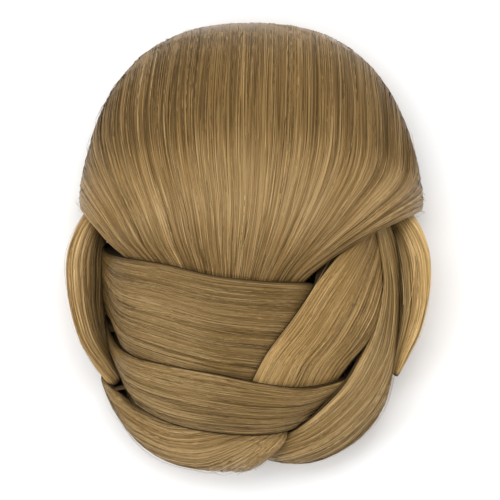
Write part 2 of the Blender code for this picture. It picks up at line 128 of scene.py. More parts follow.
BOTTOM_WRAP = [
    Section((-52.2, -45.3, -1.5), (-56.0, -48.5, 0.0), (-61.0, -52.0, 0.5)),
    Section((-49.8, -48.3, -1.0), (-54.2, -54.5, 0.8), (-62.5, -61.5, 1.5)),
    Section((-45.3, -51.8, -2.0), (-49.0, -60.8, 1.2), (-58.0, -71.5, 1.8)),
    Section((-39.0, -56.0, -5.5), (-41.2, -67.3, 1.6), (-50.5, -81.5, 1.8)),
    Section((-30.0, -59.5, -5.5), (-29.7, -72.8, 1.6), (-38.0, -89.5, 0.8)),
    Section((-19.0, -61.5, -6.0), (-17.0, -75.0, 1.0), (-19.0, -95.0, -2.2)),
    Section((-8.0, -61.5, -6.0), (-5.5, -73.0, 1.0), (-3.5, -84.5, -1.4)),
    Section((2.0, -61.0, -6.5), (4.0, -69.0, 0.2), (7.0, -74.5, 0.9)),
    Section((9.0, -60.0, -7.5), (10.5, -64.8, -4.0), (13.0, -68.3, -1.3)),
    Section((12.0, -57.5, -10.0), (13.0, -60.0, -10.0), (14.2, -62.5, -9.0)),
]
OUTER_WRAP = [
    Section((43.5, 10.0, -6.5), (47.0, 10.0, -7.0), (50.0, 9.5, -9.5)),
    Section((45.5, 2.0, -6.0), (50.0, 1.0, -6.6), (54.5, -0.5, -8.3)),
    Section((47.5, -13.0, -4.5), (52.5, -14.5, -5.7), (58.0, -16.0, -7.0)),
    Section((44.5, -28.0, -1.5), (52.0, -31.0, -4.0), (60.0, -35.0, -5.7)),
    Section((40.0, -37.5, 0.5), (49.5, -43.5, -1.4), (61.5, -52.0, -2.8)),
    Section((33.5, -48.5, 1.8), (42.5, -56.0, 1.7), (57.0, -69.0, -1.0)),
    Section((22.8, -59.5, 1.3), (30.0, -67.5, 1.5), (44.0, -84.5, -0.3)),
    Section((14.0, -66.0, -5.4), (17.0, -74.0, -1.2), (24.0, -93.0, -0.5)),
    Section((4.0, -70.5, -6.5), (3.5, -77.0, -5.0), (4.0, -94.5, -2.5)),
]
LOCKS = [
    Lock("crown_sweep", CROWN, 24, 24, 0.13, 0.13),
    Lock("upper_wrap", UPPER_WRAP, 20, 12, 0.25, 0.35),
    Lock("diagonal_wrap", DIAGONAL_WRAP, 18, 10, 0.3, 0.3),
    Lock("lower_wrap", LOWER_WRAP, 22, 10, 0.3, 0.4),
    Lock("bottom_wrap", BOTTOM_WRAP, 24, 12, 0.3, 0.25),
    Lock("outer_wrap", OUTER_WRAP, 20, 12, 0.2, 0.3),
]

# Which lock crosses over which, and how far below it the other one is kept
Crossing = namedtuple("Crossing", "over under step")
CROSSINGS = [
    Crossing("upper_wrap", "crown_sweep", 2.1),
    Crossing("crown_sweep", "diagonal_wrap", 2.0),
    Crossing("crown_sweep", "outer_wrap", 2.0),
    Crossing("diagonal_wrap", "upper_wrap", 2.0),
    Crossing("lower_wrap", "upper_wrap", 1.6),
    Crossing("lower_wrap", "diagonal_wrap", 1.6),
    Crossing("outer_wrap", "diagonal_wrap", 1.3),
    Crossing("outer_wrap", "lower_wrap", 2.3),
    Crossing("lower_wrap", "bottom_wrap", 2.1),
    Crossing("bottom_wrap", "outer_wrap", 2.4),
]

# A side loop's stations: its middle, the half axes of its oval, and how many degrees the oval leans
Station = namedtuple("Station", "x y z half_width half_depth lean")
LEFT_LOOP = [
    Station(-47.3, 18.0, 16.5, 3.4, 5.5, 0.0),
    Station(-54.4, 8.5, 18.0, 4.2, 9.5, 14.0),
    Station(-57.2, -2.0, 18.5, 4.8, 12.5, 21.0),
    Station(-57.5, -12.0, 18.5, 4.6, 13.0, 22.0),
    Station(-56.8, -22.5, 18.5, 3.7, 12.5, 20.0),
    Station(-54.7, -32.5, 18.0, 3.2, 10.5, 18.0),
    Station(-51.3, -41.0, 17.0, 3.0, 6.0, 14.0),
    Station(-47.0, -48.3, 15.0, 2.1, 3.2, 8.0),
]
RIGHT_LOOP = [
    Station(49.5, 17.0, 16.5, 3.2, 5.0, 0.0),
    Station(55.5, 8.0, 18.0, 4.1, 9.0, -12.0),
    Station(58.2, -1.5, 18.5, 4.3, 12.0, -18.0),
    Station(59.0, -11.0, 18.5, 4.0, 12.5, -18.0),
    Station(58.5, -20.5, 18.5, 3.2, 12.0, -17.0),
    Station(57.0, -29.5, 18.5, 2.9, 10.0, -15.0),
    Station(54.7, -38.0, 18.0, 2.1, 6.5, -10.0),
    Station(52.5, -45.5, 17.0, 0.9, 3.0, -5.0),
]

# How fine the visible surfaces are: this many steps for each step of the solids
FINER = 5
EDGE_ROUND = 0.35
EDGE_ROUND_SHARE = 0.05
LOOP_STEPS = 90
LOOP_SIDES = 56
COARSE_LOOP_STEPS = 24
COARSE_LOOP_SIDES = 14
PRESS_SMOOTHINGS = 2

# Relief of clumps and partings on the bodies, in mm, and the shares over which it fades to the rims
Ridge = namedtuple("Ridge", "size share")
RIDGES = [Ridge(7.0, 0.42), Ridge(3.2, 0.34), Ridge(1.7, 0.24)]
RIDGE_WAVES = 5
PARTING_EVERY = 9.0
LEAST_PARTINGS = 3
PARTING_WIDTHS = (0.5, 0.9)
PARTING_DEPTHS = (0.5, 1.1)
RELIEF = 0.2
EDGE_FADE = 0.06
END_FADE = 0.05
SEAM_FADE = 0.08
LOCK_RELIEF_SEED = 40
LOOP_RELIEF_SEED = 60

# A lock's strands: how many, in how many steps each, how wide each is and how far it stands proud
# in mm, and the seed of their random draws
Strands = namedtuple("Strands", "count steps width proud seed")
STRANDS = {
    "crown_sweep": Strands(3200, 30, 0.26, 0.24, 11),
    "upper_wrap": Strands(1900, 24, 0.25, 0.22, 12),
    "diagonal_wrap": Strands(1500, 22, 0.25, 0.22, 13),
    "lower_wrap": Strands(1700, 24, 0.25, 0.22, 14),
    "bottom_wrap": Strands(1400, 24, 0.25, 0.22, 15),
    "outer_wrap": Strands(1700, 26, 0.25, 0.22, 16),
    "left_loop": Strands(900, 26, 0.24, 0.20, 17),
    "right_loop": Strands(800, 26, 0.24, 0.20, 18),
}
# How strands gather in clumps and sway across a lock, in mm and shares
STRANDS_IN_CLUMP = 20
LEAST_CLUMPS = 6
CLUMP_SPREAD = 0.5
LOOSE_SHARE = 0.45
WHOLE_SHARE = 0.8
CLUMP_SWAY = 0.35
STRAND_SWAY = 0.2
STRAY_SWAY = 6
SWAY_TURNS = (0.4, 1.3)
SWAY_PARTS = (1, 2, 3.3)
SWAY_SIZES = (1, 0.5, 0.25)
EDGE_MARGIN = 0.004
LOOP_TWIST = 0.06
# How strands wave in and out of the surface, taper and stray from it, in mm and shares
WAVE_LENGTHS = (30.0, 85.0)
WAVE_HEIGHT = 0.05
PROUD_RANGE = (0.25, 1.1)
WIDTH_RANGE = (0.5, 1.4)
TAPER = 0.04
TAPER_POWER = 0.7
TIP_WIDTH = 0.25
TIP_DEPTH = 0.12
LEAN = 0.4
STRAY_SHARE = 0.03
STRAY_LIFT = 2.0
STRAY_WIDTH = 0.5
STRAY_TIP_WIDTH = 0.4
# The tone of bodies and strands, how much clumps and single strands differ, and how bands waver
BODY_TONE = 0.45
LOOP_TONE = 0.5
STRAND_TONE = 0.5
CLUMP_TONE = 0.20
SINGLE_TONE = 0.30
LIGHT_SHARE = 0.05
LIGHT_HAIR = 0.4
BAND_UNEVEN = 0.035
TONE_RANGE = (-0.4, 1.4)
# A band across a lock where its colour is painted lighter or darker: where it starts and ends and
# how soft its ends are, as shares of the lock's length, and how it changes the tone. On the crown
# they are painted shade, a painted highlight and a darker lower end; on the upper wrap the first is
# painted shade at its left end, which goes into the slot by the left loop; the rest are lighter and
# darker stretches of hair
Band = namedtuple("Band", "start end soft change")
BANDS = {
    # Painted shade, a painted highlight band, and darker towards the lower end
    "crown_sweep": [
        Band(0.15, 0.40, 0.08, -0.38),
        Band(0.44, 0.61, 0.08, 0.18),
        Band(0.68, 1.30, 0.16, -0.22),
    ],
    "upper_wrap": [
        # Painted shade at the left end, which goes into the slot by the left loop
        Band(-0.30, 0.26, 0.20, -0.50),
        Band(0.36, 0.52, 0.12, 0.14),
        Band(0.60, 0.74, 0.10, -0.15),
    ],
    "diagonal_wrap": [
        Band(0.05, 0.32, 0.15, -0.15),
        Band(0.52, 0.64, 0.10, -0.12),
        Band(0.72, 0.90, 0.10, 0.14),
    ],
    "lower_wrap": [
        Band(0.10, 0.26, 0.12, -0.12),
        Band(0.30, 0.44, 0.10, 0.08),
        Band(0.50, 0.64, 0.10, -0.16),
    ],
    "outer_wrap": [Band(0.25, 0.42, 0.12, -0.12), Band(0.55, 0.80, 0.15, 0.14)],
    "bottom_wrap": [Band(0.10, 0.28, 0.12, -0.10), Band(0.38, 0.60, 0.15, 0.10)],
}


def eased(share):
    share = np.clip(share, 0, 1)
    return share * share * (3 - 2 * share)


def edge_places(count):
    """Places across a lock from 0 to 1, closer together at its edges."""
    return 0.5 - 0.5 * np.cos(np.linspace(0, math.pi, count))


def band_tone_and_light(name, along):
    """How a lock's bands change its tone at places along it, painted shade and highlight among them.
    """
    change = np.zeros_like(along)
    for node, bands in BANDS.items():
        for band in bands if name.startswith(node) else []:
            started = eased((along - band.start) / band.soft + 0.5)
            change = change + band.change * (started * eased((band.end - along) / band.soft + 0.5))
    return change


# The solids' forms, as the source of the solids has them


def spline(rows, places):
    """Points at places, from 0 to 1, on a smooth curve through evenly spaced rows."""
    rows = np.asarray(rows, float)
    last = len(rows) - 1
    padded = np.vstack([2 * rows[0] - rows[1], rows, 2 * rows[-1] - rows[-2]])
    first = np.minimum((places * last).astype(int), last - 1)
    share = (places * last - first)[:, None]
    before, start, end, after = (padded[first + k] for k in range(4))
    return 0.5 * (
        2 * start
        + (end - before) * share
        + (2 * before - 5 * start + 4 * end - after) * share**2
        + (3 * start - before - 3 * end + after) * share**3
    )


def on_form(x, y, lift):
    """The point of the outer form seen at (x, y), raised by lift, and the way it is raised."""
    lift = np.maximum(lift, CAP_OUTER + LEAST_CLEAR)
    across = x / (HALF_WIDTH + lift)
    up = y / (HALF_HEIGHT + lift)
    power = np.where(up > 0, CROWN_POWER, PLAN_POWER)
    radius = (np.abs(across) ** power + np.abs(up) ** power) ** (1 / power)
    radius = np.maximum(radius, 1e-9)
    folded = np.clip((radius - 1) * FOLD_DEGREES, 0, MOST_FOLD_DEGREES) * math.pi / 180
    tilt = np.arcsin(np.minimum(radius, 1)) + folded
    least_reach = (HALF_HEIGHT + CAP_OUTER + LEAST_CLEAR) / (HALF_HEIGHT + lift)
    reach = np.where(folded > 0, np.maximum(np.sin(tilt), least_reach), np.sin(tilt)) / radius
    front = np.cos(tilt)
    height = np.where(front > 0, (FRONT_DEPTH + lift) * front, UNDER_DEPTH * front)
    outwards = np.stack([across * reach, up * reach, np.maximum(front, 0)], axis=-1)
    point = np.stack([x * reach, y * reach, WIDEST_LEVEL + height], axis=-1)
    return point, outwards


def from_edge(shares):
    """How far each place across a lock is from its nearer edge, from 0 to 1 at the middle."""
    return 2 * np.minimum(shares, 1 - shares)


def lock_sheet(lock, finer=1, edge_round=0.0):
    """The lock's outer sheet: its points, and the way out at each."""
    along = np.linspace(0, 1, lock.steps_along * finer + 1)
    across = edge_places(lock.steps_across * finer + 1)
    rows = spline([[*s.left, *s.middle, *s.right] for s in lock.sections], along)
    left, middle, right = rows[:, None, 0:3], rows[:, None, 3:6], rows[:, None, 6:9]
    v = across[None, :, None]
    points = left * (1 - v) * (1 - 2 * v) + middle * 4 * v * (1 - v) + right * v * (2 * v - 1)
    shares = np.where(across < 0.5, lock.left_roll, lock.right_roll)
    roll = np.maximum(1 - from_edge(across) / shares, 0) ** 2
    turn = np.maximum(1 - from_edge(across) / EDGE_ROUND_SHARE, 0) ** 2
    lift = points[..., 2] - EDGE_DROP * roll[None, :] - edge_round * turn[None, :]
    return on_form(points[..., 0], points[..., 1], lift)


def quads(rows, columns, start=0, flip=False):
    """The quads of a grid of points that is numbered row by row from start."""
    i, j = np.meshgrid(np.arange(rows - 1), np.arange(columns - 1), indexing="ij")
    first = i * columns + j + start
    around = [first, first + 1, first + columns + 1, first + columns]
    if flip:
        around = around[::-1]
    return np.stack([a.ravel() for a in around], axis=1)


def sheet_tree(points):
    places = [Vector(p) for p in points.reshape(-1, 3)]
    return BVHTree.FromPolygons(places, quads(*points.shape[:2]).tolist())


def drop_to(tree, point, outwards, start):
    """How far tree lies below the point that is start above point, or None where it is missed."""
    reach = np.linalg.norm(outwards)
    ray = Vector(-outwards / reach)
    distance = tree.ray_cast(Vector(point + outwards * start), ray, 2 * LOOK_OUT * reach)[3]
    return None if distance is None else distance / reach


def spread(values, pick):
    """Each value of a grid, made pick (a maximum, minimum or mean) of it and its neighbours."""
    padded = np.pad(values, 1, mode="edge")
    rows, columns = values.shape
    near = [padded[i : i + rows, j : j + columns] for i in range(3) for j in range(3)]
    return pick(np.stack(near), axis=0)


def press_under(points, outwards, tree, step):
    """How far a sheet is pressed down where tree crosses over it, with a soft dip round it."""
    push = np.zeros(points.shape[:2])
    for place in np.ndindex(push.shape):
        drop = drop_to(tree, points[place], outwards[place], LOOK_OUT)
        if drop is not None:
            over = LOOK_OUT - drop
            share = (over - CROSSES_FROM) / (CROSSES_FULLY - CROSSES_FROM)
            push[place] = max(0, step - over) * min(max(share, 0), 1)
    soft = spread(spread(spread(push, np.max), np.max), np.mean)
    return np.maximum(push, soft)


def pressed_sheets():
    """Every lock's outer sheet after the crossings, and how far each point was pressed."""
    sheets = {lock.name: lock_sheet(lock) for lock in LOCKS}
    trees = {name: sheet_tree(points) for name, (points, _) in sheets.items()}
    pressed = {name: np.zeros(points.shape[:2]) for name, (points, _) in sheets.items()}
    for crossing in CROSSINGS:
        points, outwards = sheets[crossing.under]
        push = press_under(points, outwards, trees[crossing.over], crossing.step)
        sheets[crossing.under] = (points - push[..., None] * outwards, outwards)
        pressed[crossing.under] += push
    return sheets, pressed


def depths_above(points, outwards, others, across):
    """How thick the lock can be at each point before it meets what lies under it."""
    room = np.full(points.shape[:2], 2 * LOOK_OUT)
    for place in np.ndindex(room.shape):
        for tree in others:
            drop = drop_to(tree, points[place], outwards[place], 0)
            if drop is not None:
                room[place] = min(room[place], drop)
    room = spread(room, np.min) - GAP
    rise = np.minimum(from_edge(across) / THICK_FROM, 1) ** THICKNESS_POWER
    wanted = EDGE_THICKNESS + (MOST_THICKNESS - EDGE_THICKNESS) * rise
    return np.maximum(np.minimum(room, wanted[None, :]), LEAST_THICKNESS)


def cap_ring(depth, tilt=None, level=0.0):
    """A ring of the cap: at a tilt on its dome, or at a level of its upright wall."""
    turns = np.linspace(0, 2 * math.pi, CAP_SEGMENTS, endpoint=False)
    power = 2 / PLAN_POWER
    across = np.sign(np.cos(turns)) * np.abs(np.cos(turns)) ** power
    up = np.sign(np.sin(turns)) * np.abs(np.sin(turns)) ** power
    reach = 1 if tilt is None else math.sin(tilt)
    height = level if tilt is None else WIDEST_LEVEL + (FRONT_DEPTH + depth) * math.cos(tilt)
    x = (HALF_WIDTH + depth) * across * reach
    y = (HALF_HEIGHT + depth) * up * reach
    return np.stack([x, y, np.full_like(x, height)], axis=-1)


def cap_outside():
    """The outside of the cap as a grid of points, for the locks to rest on."""
    tilts = [math.pi / 2 * k / CAP_TILTS for k in range(1, CAP_TILTS + 1)]
    rings = [cap_ring(CAP_OUTER, level=HEM_HEIGHT)]
    rings += [cap_ring(CAP_OUTER, tilt) for tilt in reversed(tilts)]
    points = np.array(rings)
    return np.concatenate([points, points[:, :1]], axis=1)


# Meshes with their coordinates along the strands


def bilinear(grid, rows, columns):
    """A grid's values at places between its points, given in steps along and across."""
    rows = np.clip(rows, 0, grid.shape[0] - 1.000001)
    columns = np.clip(columns, 0, grid.shape[1] - 1.000001)
    i, j = rows.astype(int), columns.astype(int)
    a, b = rows - i, columns - j
    if grid.ndim == 3:
        a, b = a[..., None], b[..., None]
    top = grid[i, j] * (1 - b) + grid[i, j + 1] * b
    low = grid[i + 1, j] * (1 - b) + grid[i + 1, j + 1] * b
    return top * (1 - a) + low * a


def finer_grid(grid, rows, columns):
    """A grid of values at more rows and columns."""
    places = np.meshgrid(
        np.linspace(0, grid.shape[0] - 1, rows),
        np.linspace(0, grid.shape[1] - 1, columns),
        indexing="ij",
    )
    return bilinear(grid, *places)


def smooth_grid(grid, times):
    for _ in range(times):
        grid = spread(grid, np.mean)
    return grid


def grid_normals(points, closed=False):
    """The unit normals of a grid of points, which point out unless the grid is mirrored."""
    if closed:
        wide = np.concatenate([points[:, -2:-1], points, points[:, 1:2]], axis=1)
        across = (wide[:, 2:] - wide[:, :-2]) / 2
    else:
        across = np.gradient(points, axis=1)
    along = np.gradient(points, axis=0)
    normals = np.cross(across, along)
    return -normals / np.maximum(np.linalg.norm(normals, axis=-1, keepdims=True), 1e-9)


def is_mirrored(points, outwards):
    """Whether the grid runs the other way round, so that its normals point in."""
    return float(np.mean(np.sum(grid_normals(points) * outwards, axis=-1))) < 0


def mean_length(points, axis):
    steps = np.linalg.norm(np.diff(points, axis=axis), axis=-1)
    return float(np.mean(np.sum(steps, axis=axis)))


def ridges(along, across, width, seed):
    """Relief of clumps and partings across a lock, slowly changing along it, in mm."""
    rng = np.random.default_rng(seed)
    relief = np.zeros((len(along), len(across)))
    for size, share in RIDGES:
        waves = max(2, int(width / size))
        for _ in range(RIDGE_WAVES):
            count = waves * rng.uniform(0.75, 1.25)
            phase = rng.uniform(0, 2 * math.pi)
            sway = rng.uniform(0.3, 0.9) * math.pi
            turn = rng.uniform(0.5, 1.4)
            start = rng.uniform(0, 2 * math.pi)
            place = across[None, :] * count * 2 * math.pi + phase
            drift = sway * np.sin(along[:, None] * turn * math.pi + start)
            relief += share / RIDGE_WAVES * np.sin(place + drift)
    for _ in range(max(LEAST_PARTINGS, int(width / PARTING_EVERY))):
        place = rng.uniform(0.06, 0.94)
        bend = rng.uniform(-0.02, 0.02)
        line = place + bend * np.sin(along * math.pi * rng.uniform(0.6, 1.6) + rng.uniform(0, 6))
        near = (across[None, :] - line[:, None]) * width
        reach = rng.uniform(*PARTING_WIDTHS)
        relief -= rng.uniform(*PARTING_DEPTHS) * np.exp(-((near / reach) ** 2))
    return relief * RELIEF


Patch = namedtuple("Patch", "points normals width length closed")


def new_mesh_object(name, points, faces, face_uvs, values):
    """An object from points in mm, quads, named UV maps for each corner and named point values."""
    mesh = bpy.data.meshes.new(name)
    faces = np.asarray(faces, dtype=np.int32)
    mesh.vertices.add(len(points))
    places = np.asarray(points, dtype=np.float64) * MM
    mesh.vertices.foreach_set("co", places.astype(np.float32).ravel())
    mesh.loops.add(faces.size)
    mesh.loops.foreach_set("vertex_index", faces.ravel())
    mesh.polygons.add(len(faces))
    starts = np.arange(0, faces.size, faces.shape[1], dtype=np.int32)
    mesh.polygons.foreach_set("loop_start", starts)
    mesh.polygons.foreach_set("use_smooth", np.ones(len(faces), dtype=bool))
    mesh.update(calc_edges=True)
    for label, uvs in face_uvs.items():
        layer = mesh.uv_layers.new(name=label)
        layer.data.foreach_set("uv", np.asarray(uvs, dtype=np.float32).ravel())
    for label, numbers in values.items():
        layer = mesh.attributes.new(label, "FLOAT", "POINT")
        layer.data.foreach_set("value", np.asarray(numbers, dtype=np.float32).ravel())
    made = bpy.data.objects.new(name, mesh)
    bpy.context.scene.collection.objects.link(made)
    return made


# Where a body's parts lie on the map that its materials are baked to, as shares of its side
Area = namedtuple("Area", "left low right high")
OUTER_AREA = Area(0.005, 0.005, 0.995, 0.705)
INNER_AREA = Area(0.005, 0.72, 0.995, 0.96)
WALLS_AREA = Area(0.005, 0.97, 0.995, 0.995)
TUBE_AREA = Area(0.01, 0.01, 0.99, 0.93)
DISC_HALF_SIZE = (0.2, 0.025)
START_DISC = (0.25, 0.965)
END_DISC = (0.75, 0.965)
# How lit a lock's inner sheet is painted, as a share of its outer sheet's crease shading: painted
# shade
INNER_SHADING = 0.15


def on_area(area, across, up):
    """Points on a part of the map, from two shares of it."""
    x = area.left + (area.right - area.left) * across.ravel()
    y = area.low + (area.high - area.low) * up.ravel()
    return np.stack([x, y], axis=1)


def walls_on_map(count):
    """The corners of a row of walls on their part of the map."""
    left = np.arange(count) / count
    right = left + 1 / count
    low, high = np.zeros(count), np.ones(count)
    corners = [(left, high), (right, high), (right, low), (left, low)]
    return np.stack([on_area(WALLS_AREA, *c) for c in corners], axis=1).reshape(-1, 2)


def body_object(name, outer, inner, width, length, crease, surface, mirrored):
    """A lock's body: its outer and inner sheets, closed round the rim, with strand coordinates."""
    rows, columns = outer.shape[:2]
    count = rows * columns
    u, v = np.meshgrid(np.linspace(0, 1, rows), edge_places(columns), indexing="ij")
    rim = [(0, j) for j in range(columns)]
    rim += [(i, columns - 1) for i in range(1, rows)]
    rim += [(rows - 1, j) for j in range(columns - 2, -1, -1)]
    rim += [(i, 0) for i in range(rows - 2, 0, -1)]
    rim = np.array([i * columns + j for i, j in rim])[:: -1 if mirrored else 1]
    after = np.roll(rim, -1)
    walls = np.stack([rim, after, count + after, count + rim], axis=1)
    outer_faces = quads(rows, columns, flip=not mirrored)
    inner_faces = quads(rows, columns, start=count, flip=mirrored)
    faces = np.concatenate([outer_faces, inner_faces, walls])
    points = np.concatenate([outer.reshape(-1, 3), inner.reshape(-1, 3)])
    strand = np.tile(np.stack([v.ravel() * width, u.ravel() * length], axis=1), (2, 1))
    even = np.tile(np.linspace(0, 1, columns), rows)
    sheets = np.concatenate([on_area(OUTER_AREA, even, u), on_area(INNER_AREA, even, u)])
    bake = [sheets[outer_faces.ravel()], sheets[inner_faces.ravel()], walls_on_map(len(walls))]
    uvs = {"strand": strand[faces.ravel()], "OFBake": np.concatenate(bake)}
    # Painted shade: the crease shading on the outer sheet, and darker painted shade on the inner
    # sheet
    shade = np.concatenate([crease.ravel(), crease.ravel() * INNER_SHADING])
    values = {"tone": BODY_TONE + band_tone_and_light(name, np.tile(u.ravel(), 2)), "crease": shade}
    made = new_mesh_object(name, points, faces, uvs, values)
    made.data.materials.append(surface)
    return made


def strands_object(name, patch, crease, settings, surface, columns_of, twist=0.0):
    """A lock's strands: slim ribbons that follow the lock in clumps, with a few hairs astray."""
    rng = np.random.default_rng(settings.seed)
    count, steps = settings.count, settings.steps
    t = np.linspace(0, 1, steps + 1)[None, :]
    clumps = max(LEAST_CLUMPS, count // STRANDS_IN_CLUMP)
    centres = np.sort(rng.uniform(0, 1, clumps))
    member = rng.integers(0, clumps, count)
    loose = rng.uniform(size=count) < LOOSE_SHARE
    v0 = centres[member] + rng.normal(0, CLUMP_SPREAD / patch.width, count)
    v0 = np.where(loose, rng.uniform(0, 1, count), v0)
    start = np.where(rng.uniform(size=count) < WHOLE_SHARE, 0.0, rng.uniform(0, 0.5, count))
    finish = np.where(rng.uniform(size=count) < WHOLE_SHARE, 1.0, rng.uniform(0.5, 1, count))
    u = start[:, None] + (finish - start)[:, None] * t

    def swayed(rows, reach, pick):
        phase = rng.uniform(0, 2 * math.pi, (rows, len(SWAY_PARTS)))
        turns = rng.uniform(*SWAY_TURNS, phase.shape) * np.array(SWAY_PARTS)
        size = rng.normal(0, 1, phase.shape) * np.array(SWAY_SIZES)
        place = u[:, :, None] * turns[pick][:, None, :] * 2 * math.pi + phase[pick][:, None, :]
        return reach * np.sum(size[pick][:, None, :] * np.sin(place), axis=2)

    together = swayed(clumps, CLUMP_SWAY / patch.width, member)
    alone = swayed(count, STRAND_SWAY / patch.width, np.arange(count))
    strays = (rng.uniform(size=count) < STRAY_SHARE)[:, None]
    across = v0[:, None] + together * (~loose)[:, None] + alone * np.where(strays, STRAY_SWAY, 1)
    across = across + twist * u
    if patch.closed:
        across = across % 1.0
    else:
        across = np.clip(across, EDGE_MARGIN, 1 - EDGE_MARGIN)
    rows = u * (patch.points.shape[0] - 1)
    columns = columns_of(across)
    places = bilinear(patch.points, rows, columns)
    normals = bilinear(patch.normals, rows, columns)
    normals /= np.maximum(np.linalg.norm(normals, axis=-1, keepdims=True), 1e-9)
    taper = np.clip(np.minimum(t, 1 - t) / TAPER, 0, 1) ** TAPER_POWER
    height = rng.uniform(*PROUD_RANGE, count)[:, None] * settings.proud
    waves = patch.length / rng.uniform(*WAVE_LENGTHS, count)[:, None]
    phase = rng.uniform(0, 1, count)[:, None]
    height = height + WAVE_HEIGHT * np.sin(2 * math.pi * (u * waves + phase))
    lifted = rng.uniform(0.2, 1, count)[:, None] ** 2 * STRAY_LIFT * np.sin(math.pi * t) ** 2
    height = np.where(strays, height + lifted, height)
    places = places + normals * (height * taper - TIP_DEPTH * (1 - taper))[..., None]
    ways = np.gradient(places, axis=1)
    sides = np.cross(ways, normals)
    sides /= np.maximum(np.linalg.norm(sides, axis=-1, keepdims=True), 1e-9)
    wide = settings.width * rng.uniform(*WIDTH_RANGE, count)[:, None]
    wide = wide * (TIP_WIDTH + (1 - TIP_WIDTH) * taper)
    stray_wide = STRAY_WIDTH * settings.width * (STRAY_TIP_WIDTH + (1 - STRAY_TIP_WIDTH) * taper)
    wide = np.where(strays, stray_wide, wide)
    lean = rng.normal(0, LEAN, count)[:, None, None]
    aside = (sides + normals * lean) * (wide[..., None] / 2)
    points = np.stack([places - aside, places + aside], axis=2)
    base = np.arange(count)[:, None, None] * (steps + 1) * 2
    i = np.arange(steps)[None, :, None] * 2
    faces = (base + i + np.array([0, 1, 3, 2])[None, None, :]).reshape(-1, 4)
    shift = np.array([-0.5, 0.5])[None, None, :]
    strand_u = across[:, :, None] * patch.width + shift * wide[:, :, None]
    strand_u = strand_u + rng.uniform(0, 40, count)[:, None, None]
    strand_v = np.broadcast_to((u * patch.length)[:, :, None], strand_u.shape)
    strand = np.stack([strand_u, strand_v], axis=-1).reshape(-1, 2)
    cells = math.ceil(math.sqrt(count))
    cell_x = (np.arange(count) % cells)[:, None, None]
    cell_y = (np.arange(count) // cells)[:, None, None]
    bake_u = (cell_x + 0.5 + 0.8 * shift) / cells + np.zeros((1, steps + 1, 1))
    bake_v = (cell_y + 0.05 + 0.9 * t[:, :, None]) / cells + np.zeros((1, 1, 2))
    bake = np.stack([bake_u, bake_v], axis=-1).reshape(-1, 2)
    tone = STRAND_TONE + CLUMP_TONE * rng.normal(0, 1, clumps)[member] * (~loose)
    tone = tone + SINGLE_TONE * rng.normal(0, 1, count)
    tone = tone + LIGHT_HAIR * (rng.uniform(size=count) < LIGHT_SHARE)
    # The bands' painted shade, painted highlight and tone, with ends that waver from strand to
    # strand
    uneven = rng.normal(0, BAND_UNEVEN, count)[:, None]
    tone = np.clip(tone[:, None] + band_tone_and_light(name, u + uneven), *TONE_RANGE)
    tone = np.broadcast_to(tone[:, :, None], (count, steps + 1, 2))
    # Each strand takes the painted crease shade of the body under it
    shade = np.broadcast_to(bilinear(crease, rows, columns)[:, :, None], tone.shape)
    uvs = {"strand": strand[faces.ravel()], "OFBake": bake[faces.ravel()]}
    values = {"tone": tone, "crease": shade}
    made = new_mesh_object(name, points.reshape(-1, 3), faces, uvs, values)
    made.data.materials.append(surface)
    return made


# Materials


class Nodes:
    """Short names for building one material's node tree."""

    def __init__(self, name):
        self.material = bpy.data.materials.new(name)
        self.material.use_nodes = True
        self.tree = self.material.node_tree
        self.shader = self.tree.nodes["Principled BSDF"]

    def add(self, kind, settings=None, **inputs):
        node = self.tree.nodes.new(kind)
        for label, value in (settings or {}).items():
            setattr(node, label, value)
        for label, value in inputs.items():
            self.put(node.inputs[label.replace("_", " ")], value)
        return node

    def put(self, socket, value):
        if isinstance(value, bpy.types.NodeSocket):
            self.tree.links.new(value, socket)
        else:
            socket.default_value = value

    def math(self, kind, a, b=0.5, c=0.5):
        node = self.tree.nodes.new("ShaderNodeMath")
        node.operation = kind
        for socket, value in zip(node.inputs, (a, b, c)):
            self.put(socket, value)
        return node.outputs[0]

    def mix(self, share, a, b, kind="MIX"):
        node = self.tree.nodes.new("ShaderNodeMix")
        node.data_type = "RGBA"
        node.blend_type = kind
        self.put(node.inputs[0], share)
        self.put(node.inputs[6], a)
        self.put(node.inputs[7], b)
        return node.outputs[2]

    def map(self, value, low, high, to_low, to_high):
        node = self.tree.nodes.new("ShaderNodeMapRange")
        node.clamp = True
        for socket, number in zip(node.inputs, (value, low, high, to_low, to_high)):
            self.put(socket, number)
        return node.outputs[0]

    def noise(self, vector, scale, detail=2.0, roughness=0.5):
        node = self.add("ShaderNodeTexNoise", {"noise_dimensions": "3D"})
        self.put(node.inputs["Vector"], vector)
        node.inputs["Scale"].default_value = scale
        node.inputs["Detail"].default_value = detail
        node.inputs["Roughness"].default_value = roughness
        return node.outputs["Fac"]

    def stored(self, label):
        """The values that the mesh holds under a name."""
        return self.add("ShaderNodeAttribute", {"attribute_name": label}).outputs["Fac"]


HAIR_DARK = (0.090, 0.053, 0.017, 1)
HAIR_MID = (0.285, 0.176, 0.062, 1)
HAIR_LIGHT = (0.52, 0.367, 0.175, 1)
# The colour that creases are darkened towards: painted shade
CREASE_SHADE_COLOUR = (0.026, 0.014, 0.006, 1)
SPECULAR_TINT = (1.0, 0.82, 0.55, 1)
# Streaks of tone in the hair: their waves for each mm across and along it, and their weight
Streak = namedtuple("Streak", "across along shift detail roughness weight")
FINE = Streak(3.4, 0.02, 0, 2.0, 0.6, 1.3)
CLUMPED = Streak(0.75, 0.022, 3, 2.0, 0.5, 0.45)
BROAD = Streak(0.13, 0.012, 5, 1.0, 0.5, 1.0)
TONE_WEIGHT = 0.7
SEED_STEP = 7
LOOP_STREAK_SEED = 10
# The changes of tone that give the darkest and the lightest hair
DARKEST = -0.55
LIGHTEST = 0.6
# The hair's roughness, and how lit the painted crease shading is where hair stops being dull as it
# is in a crease
LEAST_ROUGH = 0.34
MOST_ROUGH = 0.46
DULL_UNTIL = 0.6


